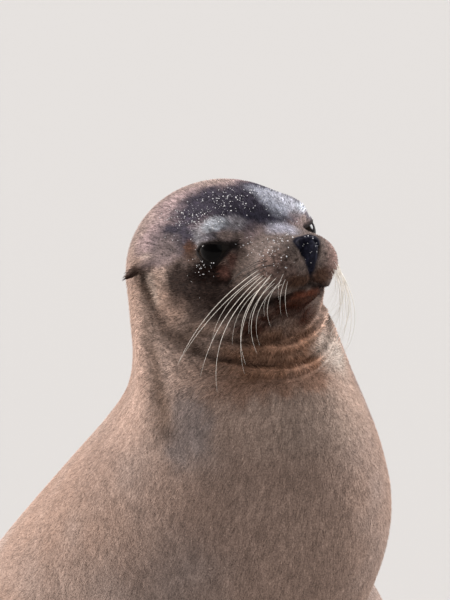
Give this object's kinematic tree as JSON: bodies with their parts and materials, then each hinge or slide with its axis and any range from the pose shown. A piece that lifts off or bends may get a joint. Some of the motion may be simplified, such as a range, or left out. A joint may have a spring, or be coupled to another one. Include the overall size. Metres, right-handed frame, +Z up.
{
  "type": "sea lion",
  "caption": "Young sea lion, life-size and still, sitting up on its fore flippers with its head turned to its right.",
  "frame": {"origin": "on the floor, under the middle of the animal's outline seen from above", "axes": "+Z up, nose towards -Y, the animal's left towards +X"},
  "size_m": [0.8932, 0.7166, 0.7732],
  "materials": {
    "short_fur": "short flat fur, fawn on the neck and chest, dark grey-brown on the face",
    "bare_hide": "dark hairless hide, dull",
    "nose_hide": "black, fine-grained, slightly moist",
    "eye_gloss": "very dark brown, wet gloss",
    "whisker": "pale horn-coloured bristle",
    "nail": "dark horn"
  },
  "bodies": {
    "root": {"head": "short_fur", "neck": "short_fur", "trunk": "short_fur", "tail": "short_fur", "fore_flipper_left": "bare_hide", "fore_flipper_right": "bare_hide", "hind_flipper_left": "bare_hide", "hind_flipper_right": "bare_hide", "ear_left": "bare_hide", "ear_right": "bare_hide", "eye_left": "eye_gloss", "eye_right": "eye_gloss", "nose_pad": "nose_hide"}
  },
  "joints": []
}
